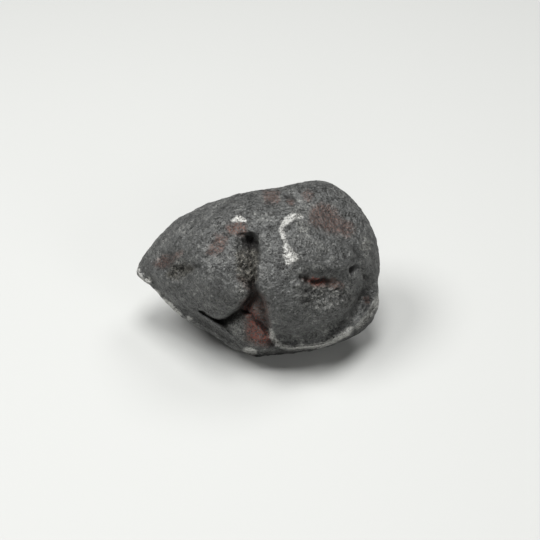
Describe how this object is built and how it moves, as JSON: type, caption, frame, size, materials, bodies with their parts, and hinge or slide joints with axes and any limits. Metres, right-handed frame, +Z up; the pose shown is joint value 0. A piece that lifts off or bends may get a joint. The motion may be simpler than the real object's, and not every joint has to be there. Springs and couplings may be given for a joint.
{
  "type": "iron meteorite",
  "caption": "Heavy pointed lump of weathered iron with rounded lobes, a deep cleft across the broad face, a scuffed lower rim and thumbprint hollows on the back.",
  "frame": {"origin": "middle of the base box, on the flat spot that the stone rests on", "axes": "+X along the stone, away from its pointed end; +Z up; the broad face looks up and towards -Y"},
  "size_m": [0.0606, 0.0354, 0.0388],
  "materials": {
    "weathered_iron": "satin dark grey fusion crust with fine grain, rust red in the hollows, pale scuffs on the rims"
  },
  "bodies": {
    "root": {"meteorite": "weathered_iron"}
  },
  "joints": []
}
